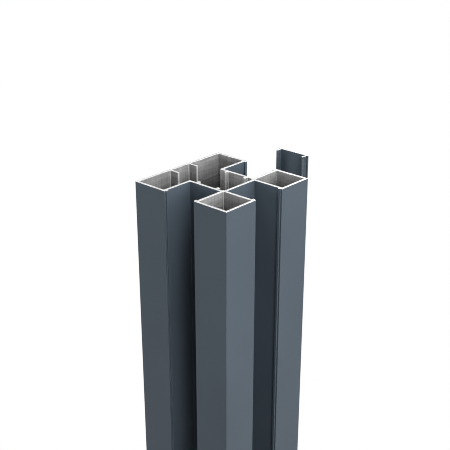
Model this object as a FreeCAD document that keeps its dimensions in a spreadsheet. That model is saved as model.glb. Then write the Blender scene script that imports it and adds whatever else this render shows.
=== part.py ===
"""Extruded aluminium fence post with three panel grooves, and its clip-in cover strip.

Millimetres, +Z up. The post stands on its sawn foot with the origin at the centre
of its section. X and Y run square to its faces. Grooves open to -Y, +X and +Y, and
the -X face is closed. The cover strip stands apart, in front of the +Y groove that
it is made to close and a little off its middle, with its top level with the post's.
"""
import FreeCAD, Part
import os

import Sketcher

SIZES = {
    # post profile
    "post_length": 1900.0,      # sawn length, for a panel field of about 1.8 m
    "post_width": 90.0,         # over the two outer faces, both ways
    "wall": 2.0,                # every wall of the profile
    "core_width": 36.6,         # over the floors of two opposite grooves
    # groove for the fence panel
    "groove_width": 30.2,       # between the side walls, behind the lips
    "lip_height": 1.5,          # how far a lip stands out from its side wall
    "lip_thickness": 1.9,       # along the depth of the groove
    "ledge_width": 0.9,         # how far a lip shows beyond the face corner
    "ledge_depth": 1.3,         # from the outer face down to the lips
    # ribs inside the main chamber
    "fin_spacing": 20.2,        # between the middles of the long pair, on the closed face
    "fin_thickness": 1.6,
    "fin_height": 8.3,
    "stub_spacing": 19.0,       # likewise for the short pairs, behind the two side grooves
    "stub_thickness": 2.2,
    "stub_height": 2.8,
    # edges of the profile
    "corner_radius": 0.3,       # four outer corners
    "lip_radius": 0.15,         # edges of the groove mouths and their lips
    "edge_radius": 0.5,         # groove floors, hollows and ribs
    # cover strip
    "plate_thickness": 1.3,
    "plate_clearance": 0.1,     # left and right of the plate in its seat
    "leg_thickness": 1.1,
    "leg_length": 5.2,          # below the plate
    "leg_clearance": 0.4,       # between a leg and the lip beside it
    "catch_height": 1.1,        # how far the catch stands out from its leg
    "catch_clearance": 0.15,    # between the catch and the back of the lip
    "strip_radius": 0.15,       # edges of the strip
    "strip_offset": 42.3,       # how far the strip stands out from its seat
    "strip_shift": -1.1,        # and how far off the middle of the groove, along X
}

GROOVE_COUNT = 3
GROOVE_SWEEP = 180.0    # degrees from the -Y groove by way of +X to the +Y groove
SAME_PLACE = 1e-6       # two edges closer than this lie in one place

# distances from the middle of the section, or of a groove, as size expressions
HALF_WIDTH = "sizes.post_width / 2"
CORE_SIDE = "sizes.core_width / 2"
GROOVE_SIDE = "sizes.groove_width / 2"
MOUTH_SIDE = "sizes.groove_width / 2 - sizes.lip_height"


def make_sizes(document):
    """Put the driving dimensions into a sheet, one aliased cell each."""
    sheet = document.addObject("Spreadsheet::Sheet", "sizes")
    for row, (name, size) in enumerate(SIZES.items(), start=1):
        sheet.set("A%d" % row, name)
        sheet.set("B%d" % row, str(size))
        sheet.setAlias("B%d" % row, name)
    document.recompute()
    return sheet


def origin_plane(body, role):
    return next(feature for feature in body.Origin.OriginFeatures if feature.Role == role)


def new_sketch(body, name):
    sketch = body.newObject("Sketcher::SketchObject", name)
    sketch.AttachmentSupport = [(origin_plane(body, "XY_Plane"), "")]
    sketch.MapMode = "FlatFace"
    return sketch


def add_outline(sketch, points):
    """Close a straight-sided outline; each point is a pair of size expressions."""
    spots = [[sketch.evalExpression(text) for text in point] for point in points]
    first = sketch.GeometryCount
    count = len(spots)
    for index, (x, y) in enumerate(spots):
        end_x, end_y = spots[(index + 1) % count]
        start = FreeCAD.Vector(x, y, 0)
        end = FreeCAD.Vector(end_x, end_y, 0)
        sketch.addGeometry(Part.LineSegment(start, end), False)
    for index in range(count):
        following = first + (index + 1) % count
        sketch.addConstraint(Sketcher.Constraint("Coincident", first + index, 2, following, 1))
    for index, point in enumerate(points):
        for kind, text, value in zip(("DistanceX", "DistanceY"), point, spots[index]):
            constraint = sketch.addConstraint(Sketcher.Constraint(kind, first + index, 1, value))
            sketch.setExpression("Constraints[%d]" % constraint, text)


def add_rectangle(sketch, left, right, bottom, top):
    add_outline(sketch, [(left, bottom), (right, bottom), (right, top), (left, top)])


def add_pad(body, sketch, name, length):
    pad = body.newObject("PartDesign::Pad", name)
    pad.Profile = sketch
    pad.setExpression("Length", length)
    sketch.Document.recompute()
    return pad


def add_pocket(body, sketch, name):
    """Cut the sketch through the whole length, upwards from the foot."""
    volume_before = body.Shape.Volume
    pocket = body.newObject("PartDesign::Pocket", name)
    pocket.Profile = sketch
    pocket.Type = "ThroughAll"
    pocket.Reversed = True
    sketch.Document.recompute()
    if not body.Shape.Volume < volume_before:
        raise ValueError("%s cuts nothing" % name)
    return pocket


def add_mirror(body, originals, name, role):
    mirror = body.newObject("PartDesign::Mirrored", name)
    mirror.Originals = originals
    mirror.MirrorPlane = (origin_plane(body, role), [""])
    body.Tip = mirror
    body.Document.recompute()
    return mirror


def upright_edges(body, wanted):
    """Names of the tip's edges along Z whose place in the section is wanted."""
    names = []
    for number, edge in enumerate(body.Shape.Edges, start=1):
        foot, head = edge.Vertexes[0].Point, edge.Vertexes[-1].Point
        upright = abs(foot.x - head.x) + abs(foot.y - head.y) < SAME_PLACE
        if upright and wanted(foot.x, foot.y):
            names.append("Edge%d" % number)
    return names


def add_fillet(body, name, wanted, radius):
    base = body.Tip
    edges = upright_edges(body, wanted)
    fillet = body.newObject("PartDesign::Fillet", name)
    fillet.Base = (base, edges)
    fillet.setExpression("Radius", radius)
    body.Tip = fillet
    body.Document.recompute()
    return fillet


def cut_grooves(body):
    """Three alike grooves: cover seat, mouth between the lips, and panel space."""
    face = "-sizes.post_width / 2"
    lip = face + " + sizes.ledge_depth"
    back = lip + " + sizes.lip_thickness"
    steps = (
        ("cover_seat", MOUTH_SIDE + " + sizes.ledge_width", face, lip),
        ("mouth", MOUTH_SIDE, face, back),
        ("panel_space", GROOVE_SIDE, back, "-" + CORE_SIDE),
    )
    cuts = []
    for name, half_width, outer, inner in steps:
        sketch = new_sketch(body, name + "_outline")
        add_rectangle(sketch, "-(%s)" % half_width, half_width, outer, inner)
        cuts.append(add_pocket(body, sketch, name))
    pattern = body.newObject("PartDesign::PolarPattern", "three_grooves")
    pattern.Originals = cuts
    pattern.Axis = (origin_plane(body, "Z_Axis"), [""])
    pattern.Angle = GROOVE_SWEEP
    pattern.Occurrences = GROOVE_COUNT
    body.Tip = pattern
    body.Document.recompute()


def cut_chamber(body):
    """Main chamber: the two open box corners at -X and the core between the grooves."""
    outer = HALF_WIDTH + " - sizes.wall"
    core = CORE_SIDE + " - sizes.wall"
    rooms = (
        ("side_room", "-(%s + sizes.wall)" % GROOVE_SIDE, outer),
        ("core_room", core, core),
    )
    for name, right, half_depth in rooms:
        sketch = new_sketch(body, name + "_outline")
        add_rectangle(sketch, "-(%s)" % outer, right, "-(%s)" % half_depth, half_depth)
        add_pocket(body, sketch, name)


def add_corner_boxes(body):
    """Square tubes at the two closed box corners, at +X."""
    outer = HALF_WIDTH + " - sizes.ledge_depth - sizes.lip_thickness"
    solid = new_sketch(body, "box_outline")
    add_rectangle(solid, GROOVE_SIDE, outer, "-(%s)" % outer, "-" + GROOVE_SIDE)
    box = add_pad(body, solid, "box_corner", "sizes.post_length")
    inner_side = GROOVE_SIDE + " + sizes.wall"
    outer_side = HALF_WIDTH + " - sizes.wall"
    room = new_sketch(body, "hollow_outline")
    add_rectangle(room, inner_side, outer_side, "-(%s)" % outer_side, "-(%s)" % inner_side)
    hollow = add_pocket(body, room, "box_hollow")
    add_mirror(body, [box, hollow], "two_box_corners", "XZ_Plane")


def rib_sides(rib):
    """Inner and outer side of a rib, from the middle of its pair."""
    spacing, thickness = "sizes.%s_spacing" % rib, "sizes.%s_thickness" % rib
    return "(%s - %s) / 2" % (spacing, thickness), "(%s + %s) / 2" % (spacing, thickness)


def add_ribs(body):
    """Long fins on the closed face and short stubs behind the side grooves."""
    near, far = rib_sides("fin")
    root = "-(%s - sizes.wall / 2)" % HALF_WIDTH
    fin_tip = "-(%s - sizes.wall - sizes.fin_height)" % HALF_WIDTH
    fin = new_sketch(body, "fin_outline")
    add_rectangle(fin, root, fin_tip, near, far)
    ribs = [add_pad(body, fin, "fin", "sizes.post_length")]
    near, far = rib_sides("stub")
    floor_middle = CORE_SIDE + " - sizes.wall / 2"
    stub_tip = CORE_SIDE + " - sizes.wall - sizes.stub_height"
    stubs = new_sketch(body, "stub_outline")
    add_rectangle(stubs, near, far, stub_tip, floor_middle)
    add_rectangle(stubs, "-(%s)" % far, "-(%s)" % near, stub_tip, floor_middle)
    ribs.append(add_pad(body, stubs, "stubs", "sizes.post_length"))
    add_mirror(body, ribs, "paired_ribs", "XZ_Plane")


def make_post_profile(document, sheet):
    """One extrusion: a square outline with grooves, hollows and ribs along it."""
    body = document.addObject("PartDesign::Body", "post_profile")
    body.Label = "post_profile"
    blank = new_sketch(body, "square_outline")
    add_rectangle(blank, "-" + HALF_WIDTH, HALF_WIDTH, "-" + HALF_WIDTH, HALF_WIDTH)
    add_pad(body, blank, "square_bar", "sizes.post_length")
    cut_grooves(body)
    cut_chamber(body)
    add_corner_boxes(body)
    add_ribs(body)

    half_width = sheet.post_width / 2
    lip_back = half_width - sheet.ledge_depth - sheet.lip_thickness
    groove_side = sheet.groove_width / 2
    mouth_side = groove_side - sheet.lip_height

    def at_corner(x, y):
        return min(abs(x), abs(y)) > half_width - SAME_PLACE

    def at_mouth(x, y):
        across, out = sorted((abs(x), abs(y)))
        beside = mouth_side - SAME_PLACE < across < groove_side + SAME_PLACE
        return beside and out > lip_back - sheet.lip_radius - SAME_PLACE

    def deeper(x, y):
        near_corner = min(abs(x), abs(y)) > half_width - sheet.wall / 2
        return not at_mouth(x, y) and not near_corner

    add_fillet(body, "outer_corners", at_corner, "sizes.corner_radius")
    add_fillet(body, "mouth_edges", at_mouth, "sizes.lip_radius")
    add_fillet(body, "inner_edges", deeper, "sizes.edge_radius")
    return body


def make_cover_strip(document):
    """Flat plate with two catch legs; its own origin is on the plate's inner face."""
    body = document.addObject("PartDesign::Body", "cover_strip")
    body.Label = "cover_strip"
    half_width = MOUTH_SIDE + " + sizes.ledge_width - sizes.plate_clearance"
    plate = new_sketch(body, "plate_outline")
    add_rectangle(plate, "-(%s)" % half_width, half_width, "0", "sizes.plate_thickness")
    add_pad(body, plate, "plate", "sizes.post_length")
    leg_outer = MOUTH_SIDE + " - sizes.leg_clearance"
    leg_inner = leg_outer + " - sizes.leg_thickness"
    catch_tip = leg_outer + " + sizes.catch_height"
    catch_back = "-(sizes.lip_thickness + sizes.catch_clearance)"
    catch_front = catch_back + " - sizes.catch_height"
    leg = new_sketch(body, "leg_outline")
    add_outline(leg, [
        (leg_inner, "sizes.plate_thickness / 2"),
        (leg_inner, "-sizes.leg_length"),
        (leg_outer, "-sizes.leg_length"),
        (leg_outer, catch_front),
        (catch_tip, catch_back),
        (leg_outer, catch_back),
        (leg_outer, "sizes.plate_thickness / 2"),
    ])
    right_leg = add_pad(body, leg, "leg", "sizes.post_length")
    add_mirror(body, [right_leg], "two_legs", "YZ_Plane")
    add_fillet(body, "strip_edges", lambda x, y: True, "sizes.strip_radius")
    seat = HALF_WIDTH + " - sizes.ledge_depth + sizes.strip_offset"
    body.setExpression("Placement.Base.x", "sizes.strip_shift")
    body.setExpression("Placement.Base.y", seat)
    return body


def check_document(document):
    """Stop if any object failed or any sub-part has no sound solid."""
    document.recompute()
    for thing in document.Objects:
        if "Invalid" in thing.State or "Error" in thing.State:
            raise ValueError("%s failed: %s" % (thing.Name, thing.State))
    for body in document.findObjects("PartDesign::Body"):
        shape = body.Shape
        if shape.isNull() or not shape.isValid() or len(shape.Solids) != 1:
            raise ValueError("%s is not one sound solid" % body.Label)


def main():
    document = FreeCAD.newDocument("fence_post")
    sheet = make_sizes(document)
    bodies = [make_post_profile(document, sheet), make_cover_strip(document)]
    check_document(document)
    os.makedirs("parts", exist_ok=True)
    for body in bodies:
        body.Shape.exportStep("parts/%s.step" % body.Label)
        print(body.Label, "volume", round(body.Shape.Volume), body.Shape.BoundBox)


main()
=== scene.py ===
"""Looks of the grooved fence post: fine meshes, finishes, camera, light and floor.

Metres, in the row frame: the post stands on z = 0 with its section's middle on the
Z axis, and the cover strip stands beyond the +Y groove.
"""
import math
from collections import namedtuple

import bpy
from mathutils import Matrix, Vector
from mathutils.geometry import tessellate_polygon


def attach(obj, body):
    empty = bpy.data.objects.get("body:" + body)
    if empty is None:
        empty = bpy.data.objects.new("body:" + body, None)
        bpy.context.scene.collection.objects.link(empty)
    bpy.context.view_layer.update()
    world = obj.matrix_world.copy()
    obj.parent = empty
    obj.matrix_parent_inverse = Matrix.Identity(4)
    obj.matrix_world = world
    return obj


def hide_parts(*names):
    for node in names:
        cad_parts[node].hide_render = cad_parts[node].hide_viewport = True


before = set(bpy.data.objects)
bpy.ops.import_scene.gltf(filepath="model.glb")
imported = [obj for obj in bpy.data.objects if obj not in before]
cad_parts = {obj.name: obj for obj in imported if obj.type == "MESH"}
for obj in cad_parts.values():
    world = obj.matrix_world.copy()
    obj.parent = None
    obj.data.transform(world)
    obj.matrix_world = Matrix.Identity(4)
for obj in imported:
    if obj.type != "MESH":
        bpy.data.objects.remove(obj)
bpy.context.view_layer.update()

MM = 0.001

# section of the post, in millimetres
HALF_WIDTH = 45.0
WALL = 2.0
CORE_SIDE = 18.3            # middle of the post to the floor of a groove
GROOVE_SIDE = 15.1          # half width of a groove behind its lips
MOUTH_SIDE = 13.6           # half width between the lips
SEAT_SIDE = 14.5            # half width of the shallow seat outside the lips
LEDGE_DEPTH = 1.3
LIP_THICKNESS = 1.9
FIN_SIDES = (9.3, 10.9)     # inner and outer side of each long rib
FIN_HEIGHT = 8.3
STUB_SIDES = (8.4, 10.6)
STUB_HEIGHT = 2.8
CORNER_RADIUS = 0.3
LIP_RADIUS = 0.15
EDGE_RADIUS = 0.5
LENGTH = 1900.0

# section of the cover strip, in millimetres
STRIP_SHIFT = -1.1          # the loose strip stands a little off the groove's middle
STRIP_SEAT = 86.0           # middle of the post to the inner side of the plate
PLATE_SIDE = 14.4
PLATE_THICKNESS = 1.3
LEG_OUTER = 13.2
LEG_INNER = 12.1
LEG_LENGTH = 5.2
CATCH_TIP = 14.3
CATCH_BACK = 2.05
CATCH_FRONT = 3.15
STRIP_RADIUS = 0.15

# edges and cuts, in millimetres
ARC_STEPS = 5               # facets of each rounded edge
CUT_BREAK = 0.12            # broken edge round a sawn end
NARROW = 0.7                # side faces narrower than this belong to an edge
HIGHLIGHT_HALF = 25.0          # inner edges nearer to the XZ plane than this get the painted highlight
WALL_BAND = 1               # a side has three bands upwards: broken edge, wall, broken edge

# material slots of the meshes; the last holds the painted highlight on inner edges
COAT, SAWN, RAW, PAINTED_HIGHLIGHT = range(4)

# finishes
NOISE_SPAN = (0.3, 0.7)     # where most values of a noise lie
COAT_COLOURS = ((0.062, 0.079, 0.098), (0.068, 0.087, 0.107))
RAW_GREYS = (0.09, 0.33)
RAW_SPAN = (0.52, 0.80)     # part of the raw pattern that goes from dark to light
# painted highlight: greys of the narrow inner edges, lighter than the raw faces, in place of glints
# on fin tips, roots and corners
PAINTED_HIGHLIGHT_GREYS = (0.50, 0.60)
SAWN_GREYS = (0.40, 0.47)
FINE_BUMP = 0.08 * MM       # height of the relief on coat and raw metal
SAW_BUMP = 0.03 * MM
BLADE_SHIFT = (0.18, 0.26, 0.0)     # puts the middle of the curved blade marks beyond the post
# painted light: the raw metal inside is coloured lighter just below each cut end and darker deeper
# in the hollows, in place of light falling in through the open ends
CUT_LIGHT_START = 2.0           # depth below a cut, in mm, at which the painted light on the raw metal starts to fade
CUT_LIGHT_END = 27.0
CUT_LIGHT_WEIGHT = 0.18         # how much lighter the painted light near a cut makes the raw pattern

# camera of the photo
LENS = 72.035
SENSOR = 36.0
CLIP_START = 0.02
CAMERA_PLACE = (0.419314, -0.459833, 2.128431)
CAMERA_DOWN = 23.036        # degrees below level
CAMERA_TURN = 42.159        # degrees from +Y towards -X

# surroundings
WORLD_LIGHT = 0.05          # strength of the white world, other than for rays that see it
FLOOR_HALF = 30.0           # half the side of the floor, in metres
FLOOR_GREY = 0.8
FADE_SPAN = (0.6, 2.0)      # distance from the post over which the floor fades to white
PIXEL_FILTER = 1.0          # crisp edges, as in a product photo

# softboxes: bearing from -Y towards +X in degrees, height in degrees, and watts
TOP_BOXES = {
    "key": (85.0, 60.0, 6.9),
    "front": (70.0, 35.0, 2.9),
    "front_low": (55.0, 12.0, 5.5),
    "right": (100.0, 35.0, 1.5),
    "right_low": (100.0, 12.0, 5.3),
    "left": (-30.0, 60.0, 2.15),
    "side": (-60.0, 60.0, 4.0),
    "side_low": (-60.0, 12.0, 6.2),
}
# larger ones behind, for the sides that the camera doesn't see
BACK_BOXES = {
    "back_right": (160.0, 30.0, 24.0),
    "back": (200.0, 30.0, 24.0),
    "back_left": (250.0, 30.0, 24.0),
}
# gridded ones lower down, which keep the foot as light as the top
LOWER_BOXES = {
    "lower_right": (90.0, 0.0, 2.0),
    "lower_front": (30.0, 0.0, 1.0),
    "lower_left": (-50.0, 0.0, 1.1),
    "lower_back_right": (160.0, 0.0, 1.4),
    "lower_back_left": (235.0, 0.0, 1.4),
}
# softboxes of one side and spread, in metres and degrees, at one distance round a middle on the
# Z axis, all aimed at one height on it
Ring = namedtuple("Ring", "boxes middle aim distance side spread")
TOP = LENGTH * MM
TOP_AIM = TOP - 0.1         # a little below the cut end
RINGS = (
    Ring(TOP_BOXES, middle=TOP, aim=TOP_AIM, distance=1.1, side=0.45, spread=180.0),
    Ring(BACK_BOXES, middle=TOP, aim=TOP_AIM, distance=2.4, side=1.0, spread=180.0),
    Ring(LOWER_BOXES, middle=0.5, aim=0.4, distance=1.6, side=0.8, spread=75.0),
)


def rounded(corners):
    """Points and outward-facing normals of a loop whose corners (x, y, radius) are rounded.

    The solid lies to the left of the loop's direction.
    """
    outline = []
    count = len(corners)
    for index, (x, y, radius) in enumerate(corners):
        here = Vector((x, y))
        before = (here - Vector(corners[index - 1][:2])).normalized()
        after = (Vector(corners[(index + 1) % count][:2]) - here).normalized()
        turn = math.atan2(before.cross(after), before.dot(after))
        reach = radius * abs(math.tan(turn / 2))
        start = here - before * reach
        side = Vector((-before.y, before.x)) * math.copysign(1.0, turn)
        centre = start + side * radius
        for step in range(ARC_STEPS + 1):
            angle = turn * step / ARC_STEPS
            spoke = Matrix.Rotation(angle, 2) @ (start - centre)
            heading = Matrix.Rotation(angle, 2) @ before
            outline.append((centre + spoke, Vector((heading.y, -heading.x))))
    return outline


def turned(corners, quarter_turns):
    """The corners turned about the middle of the section by whole quarter turns."""
    for _ in range(quarter_turns):
        corners = [(-y, x, radius) for x, y, radius in corners]
    return corners


def mirrored(corners):
    """The corners mirrored about the XZ plane, in the order that keeps the solid left."""
    return [(x, -y, radius) for x, y, radius in reversed(corners)]


def groove_corners():
    """Right half of the -Y groove, from the floor out to the face."""
    floor = -CORE_SIDE
    ledge = -HALF_WIDTH + LEDGE_DEPTH
    lip_back = ledge + LIP_THICKNESS
    return [
        (GROOVE_SIDE, floor, EDGE_RADIUS),
        (GROOVE_SIDE, lip_back, LIP_RADIUS),
        (MOUTH_SIDE, lip_back, LIP_RADIUS),
        (MOUTH_SIDE, ledge, LIP_RADIUS),
        (SEAT_SIDE, ledge, LIP_RADIUS),
        (SEAT_SIDE, -HALF_WIDTH, LIP_RADIUS),
    ]


def post_outline():
    """Outside of the post, counterclockwise, with its three grooves."""
    right = groove_corners()
    left = [(-x, y, radius) for x, y, radius in reversed(right)]
    corner = [(HALF_WIDTH, -HALF_WIDTH, CORNER_RADIUS)]
    outline = []
    for quarter in range(3):
        outline += turned(left + right + corner, quarter)
    return outline + turned(corner, 3)


def chamber_outline():
    """Main chamber, clockwise: two open box corners, the core, fins and stubs."""
    outer = HALF_WIDTH - WALL
    core = CORE_SIDE - WALL
    side_room = -(GROOVE_SIDE + WALL)
    fin_tip = -outer + FIN_HEIGHT
    stub_tip = core - STUB_HEIGHT
    near, far = FIN_SIDES
    upper = [
        (-outer, near), (fin_tip, near), (fin_tip, far), (-outer, far),
        (-outer, outer), (side_room, outer), (side_room, core),
    ]
    near, far = STUB_SIDES
    upper += [
        (-far, core), (-far, stub_tip), (-near, stub_tip), (-near, core),
        (near, core), (near, stub_tip), (far, stub_tip), (far, core),
        (GROOVE_SIDE, core), (GROOVE_SIDE, GROOVE_SIDE), (core, GROOVE_SIDE),
    ]
    upper = [(x, y, EDGE_RADIUS) for x, y in upper]
    return upper + mirrored(upper)


def box_outline():
    """Hollow of the closed box corner at +X, -Y, clockwise."""
    near, far = GROOVE_SIDE + WALL, HALF_WIDTH - WALL
    corners = [(near, -far), (near, -near), (far, -near), (far, -far)]
    return [(x, y, EDGE_RADIUS) for x, y in corners]


def strip_outline():
    """Cover strip, counterclockwise: plate with two catch legs towards the post."""
    right = [
        (LEG_INNER, 0.0), (LEG_INNER, -LEG_LENGTH), (LEG_OUTER, -LEG_LENGTH),
        (LEG_OUTER, -CATCH_FRONT), (CATCH_TIP, -CATCH_BACK), (LEG_OUTER, -CATCH_BACK),
        (LEG_OUTER, 0.0), (PLATE_SIDE, 0.0), (PLATE_SIDE, PLATE_THICKNESS),
    ]
    whole = right + [(-x, y) for x, y in reversed(right)]
    return [(x + STRIP_SHIFT, y + STRIP_SEAT, STRIP_RADIUS) for x, y in whole]


def inset(points, amount):
    """The loop moved into the solid by a small amount, with mitred corners."""
    moved = []
    count = len(points)
    for index, point in enumerate(points):
        before = (point - points[index - 1]).normalized()
        after = (points[(index + 1) % count] - point).normalized()
        left = [Vector((-edge.y, edge.x)) for edge in (before, after)]
        moved.append(point + (left[0] + left[1]) * amount / (1 + left[0].dot(left[1])))
    return moved


class Shell:
    """Vertices and faces of a piece, with the material slot and corner normals of each face."""

    def __init__(self):
        self.verts = []
        self.faces = []
        self.slots = []
        self.normals = []

    def add_face(self, corners, slot, normals=None):
        """A face over numbered vertices; without normals it is shaded flat."""
        self.faces.append(tuple(corners))
        self.slots.append(slot)
        self.normals.append(normals)

    def add_loop(self, outline, face_slot, edge_slot):
        """Sides along Z over a loop, with a broken edge at each cut; returns both rims.

        A rim is given by the numbers of its vertices, and the lower rim comes first.
        """
        count = len(outline)
        walls = [point for point, _ in outline]
        inner = inset(walls, CUT_BREAK)
        levels = ((inner, 0.0), (walls, CUT_BREAK), (walls, LENGTH - CUT_BREAK), (inner, LENGTH))
        starts = []
        for points, height in levels:
            starts.append(len(self.verts))
            self.verts += [Vector((point.x, point.y, height)) * MM for point in points]
        for band, (low, high) in enumerate(zip(starts, starts[1:])):
            for index in range(count):
                following = (index + 1) % count
                corners = (low + index, low + following, high + following, high + index)
                if band != WALL_BAND:
                    self.add_face(corners, SAWN)
                    continue
                narrow = (walls[following] - walls[index]).length < NARROW
                # narrow faces near the XZ plane take the edge slot, which inside the hollows is the
                # painted highlight
                bright = narrow and abs(walls[index].y) < HIGHLIGHT_HALF
                here, there = (outline[spot][1].to_3d() for spot in (index, following))
                normals = (here, there, there, here)
                self.add_face(corners, edge_slot if bright else face_slot, normals)
        return [range(start, start + count) for start in (starts[0], starts[-1])]

    def add_cap(self, rims, faces_up):
        """A flat sawn end between the rims."""
        numbers = [number for rim in rims for number in rim]
        loops = [[self.verts[number] for number in rim] for rim in rims]
        for triangle in tessellate_polygon(loops):
            corners = [numbers[spot] for spot in triangle]
            a, b, c = (self.verts[number] for number in corners)
            upward = (b - a).cross(c - a).z > 0
            self.add_face(corners if upward == faces_up else reversed(corners), SAWN)

    def build(self, name, materials):
        """The object with this mesh, in the scene."""
        mesh = bpy.data.meshes.new(name)
        mesh.from_pydata(self.verts, [], self.faces)
        for material in materials:
            mesh.materials.append(material)
        mesh.polygons.foreach_set("material_index", self.slots)
        mesh.polygons.foreach_set("use_smooth", [True] * len(self.faces))
        mesh.update()
        corner_normals = []
        for polygon, given in zip(mesh.polygons, self.normals):
            corner_normals += given or [polygon.normal] * polygon.loop_total
        mesh.normals_split_custom_set(corner_normals)
        piece = bpy.data.objects.new(name, mesh)
        bpy.context.scene.collection.objects.link(piece)
        return piece


def extrude(name, loops, materials):
    """Closed piece of the section's loops (corners, face slot, edge slot) along Z."""
    shell = Shell()
    rims = [shell.add_loop(rounded(corners), *slots) for corners, *slots in loops]
    foot_rims, top_rims = zip(*rims)
    shell.add_cap(foot_rims, faces_up=False)
    shell.add_cap(top_rims, faces_up=True)
    return shell.build(name, materials)


def new_material(name):
    """A material with its node tree, its shader and its object coordinates."""
    material = bpy.data.materials.new(name)
    material.use_nodes = True
    tree = material.node_tree
    place = tree.nodes.new("ShaderNodeTexCoord").outputs["Object"]
    return material, tree, tree.nodes["Principled BSDF"], place


def calculated(tree, operation, *values):
    """The result of a calculation on sockets and plain numbers."""
    step = tree.nodes.new("ShaderNodeMath")
    step.operation = operation
    for socket, value in zip(step.inputs, values):
        if isinstance(value, float):
            socket.default_value = value
        else:
            tree.links.new(value, socket)
    return step.outputs["Value"]


def summed(tree, parts):
    """The sum of the values, each times its weight."""
    total = 0.0
    for value, weight in parts:
        total = calculated(tree, "MULTIPLY_ADD", value, weight, total)
    return total


def noise(tree, place, scale, detail=3.0, roughness=0.5, stretch=None):
    """Fractal noise, drawn out along each axis whose stretch is small."""
    if stretch:
        mapping = tree.nodes.new("ShaderNodeMapping")
        mapping.inputs["Scale"].default_value = stretch
        tree.links.new(place, mapping.inputs["Vector"])
        place = mapping.outputs["Vector"]
    texture = tree.nodes.new("ShaderNodeTexNoise")
    texture.inputs["Scale"].default_value = scale
    texture.inputs["Detail"].default_value = detail
    texture.inputs["Roughness"].default_value = roughness
    tree.links.new(place, texture.inputs["Vector"])
    return texture.outputs["Fac"]


def ranged(tree, value, result, given=NOISE_SPAN):
    """The value taken from the given span to the resulting one, and held at its ends."""
    spread = tree.nodes.new("ShaderNodeMapRange")
    for name, number in zip(("From Min", "From Max", "To Min", "To Max"), (*given, *result)):
        spread.inputs[name].default_value = number
    tree.links.new(value, spread.inputs["Value"])
    return spread.outputs["Result"]


def blended(tree, value, colours, given=NOISE_SPAN):
    """A colour between two, by where the value lies in the given span."""
    ramp = tree.nodes.new("ShaderNodeValToRGB")
    for element, position, colour in zip(ramp.color_ramp.elements, given, colours):
        element.position = position
        element.color = (*colour, 1.0)
    tree.links.new(value, ramp.inputs["Fac"])
    return ramp.outputs["Color"]


def greys(levels):
    """Colours of the grey levels."""
    return [(level, level, level) for level in levels]


def finished(tree, shader, colour, roughness):
    """Give the shader a colour and a roughness that vary over the surface."""
    tree.links.new(colour, shader.inputs["Base Color"])
    tree.links.new(roughness, shader.inputs["Roughness"])


def bumped(tree, shader, height, strength, distance):
    """Give the shader a relief."""
    bump = tree.nodes.new("ShaderNodeBump")
    bump.inputs["Strength"].default_value = strength
    bump.inputs["Distance"].default_value = distance
    tree.links.new(height, bump.inputs["Height"])
    tree.links.new(bump.outputs["Normal"], shader.inputs["Normal"])


def painted_light_near_cut(tree, place):
    """Painted light: 1 just below a saw cut, where the hollows are lit through the open end,
    falling to 0 deeper in, where they are in shade.
    """
    height = tree.nodes.new("ShaderNodeSeparateXYZ")
    tree.links.new(place, height.inputs["Vector"])
    above_middle = calculated(tree, "SUBTRACT", height.outputs["Z"], LENGTH * MM / 2)
    distance = calculated(tree, "ABSOLUTE", above_middle)
    in_shade_at, in_light_at = ((LENGTH / 2 - depth) * MM for depth in (CUT_LIGHT_END, CUT_LIGHT_START))
    return ranged(tree, distance, (0.0, 1.0), (in_shade_at, in_light_at))


def powder_coat():
    """Satin anthracite powder coat with a fine orange-peel surface."""
    material, tree, shader, place = new_material("anthracite_coat_satin")
    clouds = noise(tree, place, scale=14.0, detail=2.0)
    grain = noise(tree, place, scale=1400.0, roughness=0.6)
    finished(tree, shader, blended(tree, clouds, COAT_COLOURS), ranged(tree, grain, (0.40, 0.50)))
    bumped(tree, shader, grain, strength=0.25, distance=FINE_BUMP)
    shader.inputs["Specular IOR Level"].default_value = 0.11
    return material


def raw_aluminium():
    """Bare inside of the extrusion: matt, with die lines along it and streaks across, and painted
    light that makes it lighter near the cut ends and darker deeper in.
    """
    material, tree, shader, place = new_material("bare_aluminium_inside")
    lines = noise(tree, place, scale=620.0, detail=4.0, roughness=0.65, stretch=(1.0, 1.0, 0.012))
    streaks = noise(tree, place, scale=700.0, roughness=0.6, stretch=(0.05, 0.05, 1.0))
    clouds = noise(tree, place, scale=90.0, roughness=0.6, stretch=(1.0, 1.0, 0.35))
    grain = noise(tree, place, scale=1300.0, detail=2.0, roughness=0.6)
    pattern = summed(tree, ((lines, 0.25), (streaks, 0.3), (clouds, 0.2), (grain, 0.25)))
    # painted light: the pattern is made lighter near each cut end and darker deeper in the hollows
    lit_pattern = summed(tree, ((pattern, 1.0), (painted_light_near_cut(tree, place), CUT_LIGHT_WEIGHT)))
    colour = blended(tree, lit_pattern, greys(RAW_GREYS), RAW_SPAN)
    finished(tree, shader, colour, ranged(tree, streaks, (0.40, 0.50)))
    bumped(tree, shader, pattern, strength=0.3, distance=FINE_BUMP)
    return material


def painted_edge_highlight():
    """Painted highlight: edges inside the extrusion, coloured lighter than the faces in place of
    glints along fin tips, roots and box corners.
    """
    material, tree, shader, place = new_material("bare_aluminium_painted_edge_highlight")
    lines = noise(tree, place, scale=300.0, stretch=(1.0, 1.0, 0.03))
    colour = blended(tree, lines, greys(PAINTED_HIGHLIGHT_GREYS))
    finished(tree, shader, colour, ranged(tree, lines, (0.34, 0.42)))
    shader.inputs["Metallic"].default_value = 0.3
    return material


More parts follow.
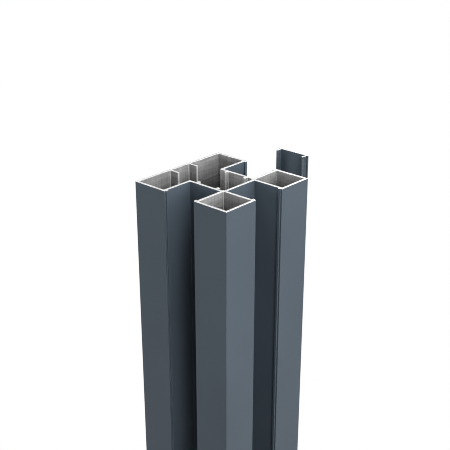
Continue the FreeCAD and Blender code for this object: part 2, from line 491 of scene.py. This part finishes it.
def sawn_aluminium():
    """Bright sawn end with fine, slightly curved blade marks."""
    material, tree, shader, place = new_material("bare_aluminium_sawn")
    mapping = tree.nodes.new("ShaderNodeMapping")
    mapping.inputs["Location"].default_value = BLADE_SHIFT
    tree.links.new(place, mapping.inputs["Vector"])
    rings = tree.nodes.new("ShaderNodeTexWave")
    rings.wave_type = "RINGS"
    rings.rings_direction = "Z"
    rings.inputs["Scale"].default_value = 340.0
    rings.inputs["Distortion"].default_value = 1.5
    rings.inputs["Detail"].default_value = 2.0
    tree.links.new(mapping.outputs["Vector"], rings.inputs["Vector"])
    patches = noise(tree, place, scale=300.0)
    colour = blended(tree, patches, greys(SAWN_GREYS))
    finished(tree, shader, colour, ranged(tree, patches, (0.32, 0.45)))
    bumped(tree, shader, rings.outputs["Fac"], strength=0.15, distance=SAW_BUMP)
    shader.inputs["Metallic"].default_value = 1.0
    return material


def make_pieces():
    """The post and the cover strip, each in place of its plain solid."""
    coat, sawn = powder_coat(), sawn_aluminium()
    post_materials = (coat, sawn, raw_aluminium(), painted_edge_highlight())
    box = box_outline()
    # the narrow edges of the hollows take the painted highlight
    hollows = [(corners, RAW, PAINTED_HIGHLIGHT) for corners in (chamber_outline(), box, mirrored(box))]
    post = extrude("grooved_post", [(post_outline(), COAT, COAT)] + hollows, post_materials)
    strip = extrude("groove_cover", [(strip_outline(), COAT, COAT)], (coat, sawn))
    for piece, node in ((post, "post_profile"), (strip, "cover_strip")):
        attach(piece, "root")
        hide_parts(node)


def make_camera():
    """The photo's view of the upper end."""
    camera = bpy.data.objects.new("photo_camera", bpy.data.cameras.new("photo_camera"))
    camera.data.lens = LENS
    camera.data.sensor_width = SENSOR
    camera.data.clip_start = CLIP_START
    camera.location = CAMERA_PLACE
    camera.rotation_euler = (math.radians(90 - CAMERA_DOWN), 0.0, math.radians(CAMERA_TURN))
    bpy.context.scene.collection.objects.link(camera)
    bpy.context.scene.camera = camera


def seen_by_eye(tree):
    """1 for rays from the camera, also after a mirror or through glass, else 0."""
    rays = tree.nodes.new("ShaderNodeLightPath").outputs
    total = rays["Is Camera Ray"]
    for name in ("Is Glossy Ray", "Is Transmission Ray"):
        total = calculated(tree, "MAXIMUM", total, rays[name])
    return total


def make_world():
    """White where it is seen, and only a little light from all round."""
    world = bpy.data.worlds.new("studio")
    world.use_nodes = True
    tree = world.node_tree
    background = tree.nodes["Background"]
    background.inputs["Color"].default_value = (1.0, 1.0, 1.0, 1.0)
    strength = ranged(tree, seen_by_eye(tree), (WORLD_LIGHT, 1.0), (0.0, 1.0))
    tree.links.new(strength, background.inputs["Strength"])
    bpy.context.scene.world = world


def make_floor():
    """Pale floor: it takes the shadow near the post and fades to plain white far off."""
    corners = [(-1, -1), (1, -1), (1, 1), (-1, 1)]
    mesh = bpy.data.meshes.new("floor")
    mesh.from_pydata([(x * FLOOR_HALF, y * FLOOR_HALF, 0.0) for x, y in corners], [], [range(4)])
    floor = bpy.data.objects.new("floor", mesh)
    bpy.context.scene.collection.objects.link(floor)
    material, tree, shader, place = new_material("pale_floor")
    shader.inputs["Base Color"].default_value = (FLOOR_GREY, FLOOR_GREY, FLOOR_GREY, 1.0)
    shader.inputs["Roughness"].default_value = 0.9
    shader.inputs["Specular IOR Level"].default_value = 0.0
    away = tree.nodes.new("ShaderNodeVectorMath")
    away.operation = "LENGTH"
    tree.links.new(place, away.inputs[0])
    far = ranged(tree, away.outputs["Value"], (0.0, 1.0), FADE_SPAN)
    share = calculated(tree, "MULTIPLY", far, seen_by_eye(tree))
    white = tree.nodes.new("ShaderNodeEmission")
    mix = tree.nodes.new("ShaderNodeMixShader")
    tree.links.new(share, mix.inputs["Fac"])
    tree.links.new(shader.outputs["BSDF"], mix.inputs[1])
    tree.links.new(white.outputs["Emission"], mix.inputs[2])
    tree.links.new(mix.outputs["Shader"], tree.nodes["Material Output"].inputs["Surface"])
    mesh.materials.append(material)


def direction(bearing, height):
    """Unit vector at a bearing from -Y towards +X and a height, both in degrees."""
    around, up = math.radians(bearing), math.radians(height)
    return Vector((math.sin(around) * math.cos(up), -math.cos(around) * math.cos(up), math.sin(up)))


def add_softbox(name, way, power, ring):
    """A square softbox of the ring, out from its middle in the given direction."""
    light = bpy.data.lights.new(name, "AREA")
    light.shape = "RECTANGLE"
    light.size = light.size_y = ring.side
    light.energy = power
    light.spread = math.radians(ring.spread)
    lamp = bpy.data.objects.new(name, light)
    lamp.location = way * ring.distance + Vector((0.0, 0.0, ring.middle))
    heading = Vector((0.0, 0.0, ring.aim)) - lamp.location
    lamp.rotation_euler = heading.to_track_quat("-Z", "Y").to_euler()
    bpy.context.scene.collection.objects.link(lamp)


def make_lights():
    """All the softboxes of all the rings."""
    for ring in RINGS:
        for name, (bearing, height, power) in ring.boxes.items():
            add_softbox(name, direction(bearing, height), power, ring)


make_pieces()
make_camera()
make_world()
make_floor()
make_lights()
bpy.context.scene.view_settings.view_transform = "Standard"
bpy.context.scene.cycles.filter_width = PIXEL_FILTER
